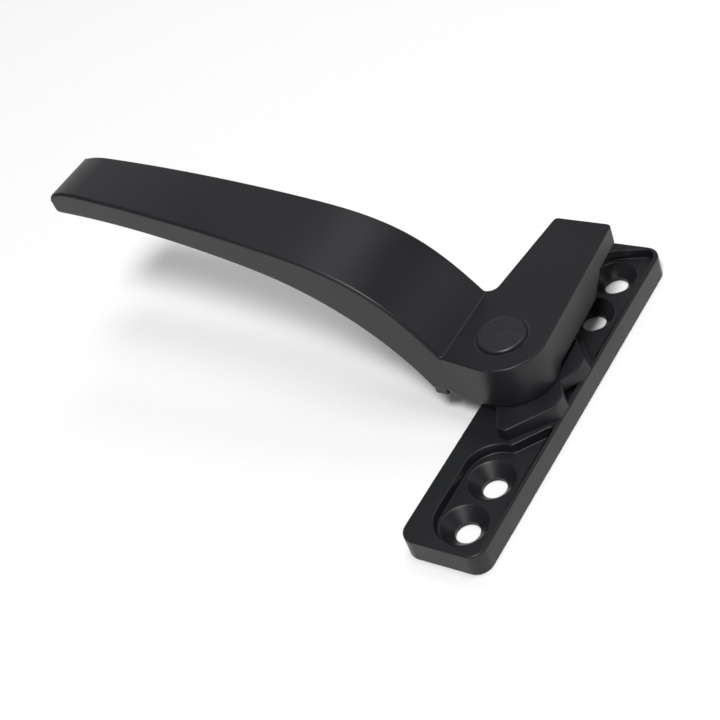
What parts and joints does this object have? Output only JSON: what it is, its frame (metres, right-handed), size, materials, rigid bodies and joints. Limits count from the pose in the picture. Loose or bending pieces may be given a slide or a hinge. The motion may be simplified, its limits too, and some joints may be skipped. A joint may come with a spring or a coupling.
{
  "type": "casement window handle",
  "caption": "Casement window handle: a curved lever with a short nose turns on a long fixing plate with countersunk screw holes.",
  "frame": {"origin": "midpoint of the line of screw holes, on the plate's back face", "axes": "+Z out of the fixing plate along the pivot, +Y along the plate the way the nose points when open, -X the way the grip points when open"},
  "size_m": [0.1328, 0.094, 0.0505],
  "materials": {
    "coated_casting": "black powder-coated die casting, satin",
    "coated_steel": "black coated head, satin",
    "spring_steel": "oiled spring steel",
    "zinc_plated_steel": "bright zinc plate",
    "bearing_steel": "polished ball",
    "acetal": "natural acetal"
  },
  "bodies": {
    "fixing_plate": {"base_plate": "coated_casting", "pivot_rivet": "coated_steel", "disc_spring": "spring_steel", "tail_washer": "zinc_plated_steel"},
    "lever": {"lever": "coated_casting", "bearing_bush": "acetal", "detent_spring": "spring_steel"},
    "detent": {"detent_ball": "bearing_steel"}
  },
  "joints": [
    {"name": "lever_turn", "type": "hinge", "parent": "fixing_plate", "child": "lever", "pos_m": [-0.0058, 0, 0.0095], "axis": [0, 0, 1], "range_deg": [-90, 0]},
    {"name": "detent_click", "type": "slide", "parent": "lever", "child": "detent", "axis": [0, 0, 1], "range_m": [-0.0003, 0], "deforming": ["detent_spring"]}
  ]
}
